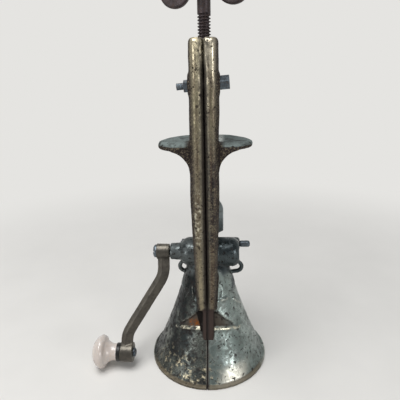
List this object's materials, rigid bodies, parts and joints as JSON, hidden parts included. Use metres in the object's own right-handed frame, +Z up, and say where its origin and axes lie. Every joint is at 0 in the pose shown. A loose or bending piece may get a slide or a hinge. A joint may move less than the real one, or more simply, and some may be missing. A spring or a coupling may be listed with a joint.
{
  "type": "hand crank meat grinder",
  "caption": "Hand crank meat grinder standing on its hopper mouth, with a split cast body, feed screw and knife, a bent crank with a porcelain knob, and a wing screw table clamp.",
  "frame": {"origin": "centre of the hopper mouth, in the plane of its rim, which is also the floor in the rest pose", "axes": "+Z up from the hopper mouth to the wing screw, +X along the feed screw from crank to discharge, +Y from the clamp leg to the drip tongue; in use the part is turned over, hopper up"},
  "size_m": [0.1529, 0.104, 0.3167],
  "materials": {
    "tinned_casting": "worn tinned",
    "tinned_inside": "tinned",
    "crank_casting": "worn",
    "clamp_iron": "rust brown",
    "bolt_steel": "blackened",
    "tongue_sheet": "dull",
    "cutting_steel": "ground",
    "fibre_washer": "matt",
    "porcelain": "glazed",
    "ferrule_iron": "black"
  },
  "bodies": {
    "body": {"left_half": "tinned_casting", "right_half": "tinned_casting", "leg_bolt": "bolt_steel", "leg_nut": "bolt_steel", "tie_bolt": "bolt_steel", "tie_nut": "bolt_steel", "locating_pins": "bolt_steel", "drip_tongue": "tongue_sheet", "thrust_washer": "fibre_washer", "cutter_plate": "cutting_steel"},
    "rotor": {"feed_screw": "tinned_inside", "cutter_knife": "cutting_steel", "crank_arm": "crank_casting", "crank_screw": "bolt_steel", "knob_spindle": "bolt_steel"},
    "grip": {"knob": "porcelain", "knob_ferrule": "ferrule_iron"},
    "foot": {"clamp_foot": "clamp_iron"},
    "screw": {"clamp_screw": "clamp_iron", "clamp_wing": "clamp_iron", "wing_pin": "bolt_steel"}
  },
  "joints": [
    {"name": "crank_turn", "type": "hinge", "parent": "body", "child": "rotor", "pos_m": [0, 0, 0.101], "axis": [1, 0, 0], "continuous": true},
    {"name": "knob_spin", "type": "hinge", "parent": "rotor", "child": "grip", "pos_m": [-0.09, -0.02485, 0.0145], "axis": [1, 0, 0], "continuous": true},
    {"name": "foot_slide", "type": "slide", "parent": "body", "child": "foot", "axis": [0, 0, -1], "range_m": [-0.0125, 0.0165]},
    {"name": "screw_turn", "type": "hinge", "parent": "foot", "child": "screw", "pos_m": [0, -0.003, 0.24], "axis": [0, 0, -1], "range_deg": [-2142, 2828]}
  ],
  "couplings": [
    {"joint": "foot_slide", "follows": "screw_turn", "m_per_rad": 0.00033423}
  ]
}
